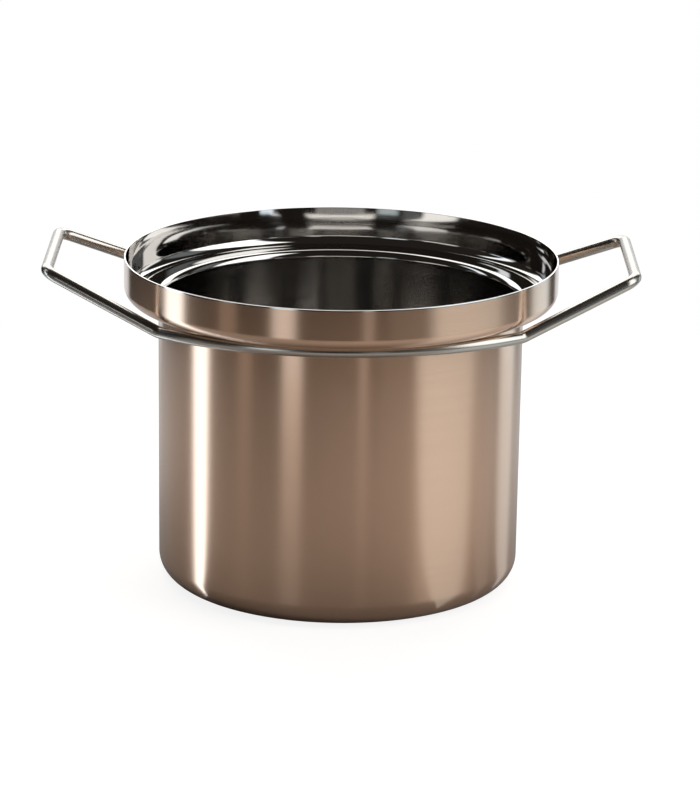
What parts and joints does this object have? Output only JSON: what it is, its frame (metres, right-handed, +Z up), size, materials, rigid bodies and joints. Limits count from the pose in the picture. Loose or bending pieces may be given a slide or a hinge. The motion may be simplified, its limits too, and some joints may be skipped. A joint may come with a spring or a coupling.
{
  "type": "double boiler",
  "caption": "Stepped copper-coloured pot with a polished steel lining, a lift-out inner pan on its shelf and one bent wire that forms both handles.",
  "frame": {"origin": "centre of the pot's flat base, on the surface it stands on", "axes": "+Z up along the pot's axis, +X towards the right handle, -Y towards the front of the picture"},
  "size_m": [0.3252, 0.24, 0.1866],
  "materials": {
    "copper_skin": "copper-coloured steel, brushed around the pot, satin",
    "polished_steel": "stainless steel, mirror polished",
    "core_aluminium": "plain mill surface, closed in",
    "pan_steel": "stainless steel, polished flange and satin well",
    "wire_steel": "stainless steel wire, polished",
    "weld_steel": "stainless weld bead, cleaned"
  },
  "bodies": {
    "pot": {"pot_skin": "copper_skin", "pot_liner": "polished_steel", "base_core": "core_aluminium", "handle_frame": "wire_steel", "handle_welds": "weld_steel"},
    "pan": {"inner_pan": "pan_steel"}
  },
  "joints": [
    {"name": "pan_lift", "type": "slide", "parent": "pot", "child": "pan", "axis": [0, 0, 1], "range_m": [0, 0.15]}
  ]
}
